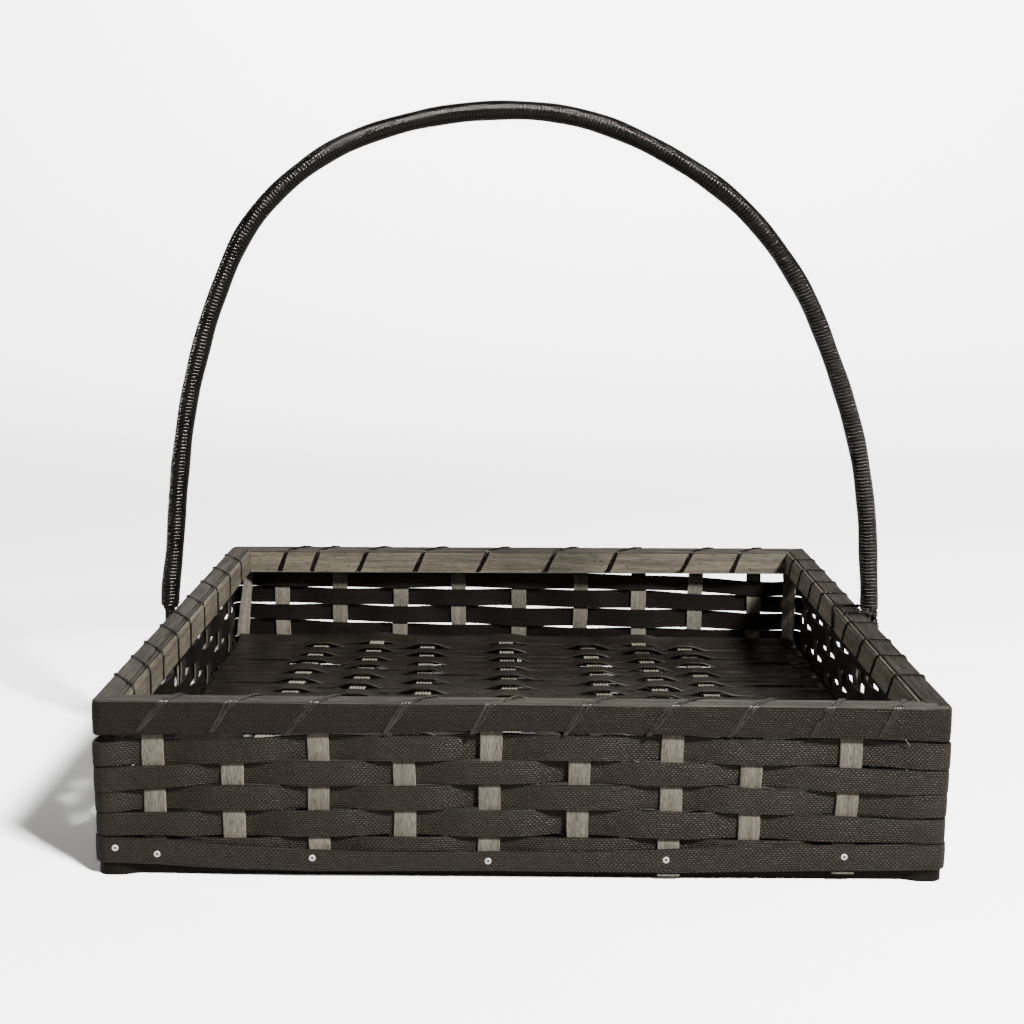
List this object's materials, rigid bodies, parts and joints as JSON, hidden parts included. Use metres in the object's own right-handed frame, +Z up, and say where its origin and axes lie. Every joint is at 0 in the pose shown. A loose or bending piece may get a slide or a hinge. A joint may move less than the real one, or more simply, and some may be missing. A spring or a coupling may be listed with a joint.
{
  "type": "gift basket",
  "caption": "Square open gift basket woven from flat cane strips on upright stakes, with a lashed rim and a fixed cord-wound arch handle.",
  "frame": {"origin": "on the surface that the basket stands on, under the middle of its bounding box", "axes": "+X to the right along the arch of the handle, +Y from the front wall to the back wall, +Z up"},
  "size_m": [0.3759, 0.359, 0.3332],
  "materials": {
    "stake_cane": "pale grey-olive cane, dull, with fine lengthwise grain",
    "weaver_cane": "dark brown stained cane with a fine embossed scale, satin",
    "rim_cane": "grey-brown cane, satin, with fine lengthwise lines",
    "mat_cane": "dark brown stained cane, satin",
    "lashing_cord": "dark plied fibre cord, waxed",
    "handle_cord": "fine black waxed cord, glossy",
    "nail_steel": "small round steel nail heads, in the visual only"
  },
  "bodies": {
    "root": {"front_stake_1": "stake_cane", "front_stake_2": "stake_cane", "front_stake_3": "stake_cane", "front_stake_4": "stake_cane", "front_stake_5": "stake_cane", "front_stake_6": "stake_cane", "front_stake_7": "stake_cane", "front_stake_8": "stake_cane", "front_stake_9": "stake_cane", "right_stake_1": "stake_cane", "right_stake_2": "stake_cane", "right_stake_3": "stake_cane", "right_stake_4": "stake_cane", "right_stake_5": "stake_cane", "right_stake_6": "stake_cane", "right_stake_7": "stake_cane", "right_stake_8": "stake_cane", "right_stake_9": "stake_cane", "back_stake_1": "stake_cane", "back_stake_2": "stake_cane", "back_stake_3": "stake_cane", "back_stake_4": "stake_cane", "back_stake_5": "stake_cane", "back_stake_6": "stake_cane", "back_stake_7": "stake_cane", "back_stake_8": "stake_cane", "back_stake_9": "stake_cane", "left_stake_1": "stake_cane", "left_stake_2": "stake_cane", "left_stake_3": "stake_cane", "left_stake_4": "stake_cane", "left_stake_5": "stake_cane", "left_stake_6": "stake_cane", "left_stake_7": "stake_cane", "left_stake_8": "stake_cane", "left_stake_9": "stake_cane", "corner_post_front_right": "stake_cane", "corner_post_back_right": "stake_cane", "corner_post_back_left": "stake_cane", "corner_post_front_left": "stake_cane", "weaver_row_1": "weaver_cane", "weaver_row_2": "weaver_cane", "weaver_row_3": "weaver_cane", "weaver_row_4": "weaver_cane", "weaver_row_5": "weaver_cane", "base_band": "weaver_cane", "foot_band": "weaver_cane", "rim_outer_strip": "weaver_cane", "rim_core": "rim_cane", "rim_lining": "rim_cane", "rim_cap": "rim_cane", "rim_lashing_front": "lashing_cord", "rim_lashing_right_front": "lashing_cord", "rim_lashing_right_back": "lashing_cord", "rim_lashing_back": "lashing_cord", "rim_lashing_left": "lashing_cord", "handle_core": "stake_cane", "handle_wrap": "handle_cord", "handle_tie": "lashing_cord", "floor_mat": "mat_cane"}
  },
  "joints": []
}
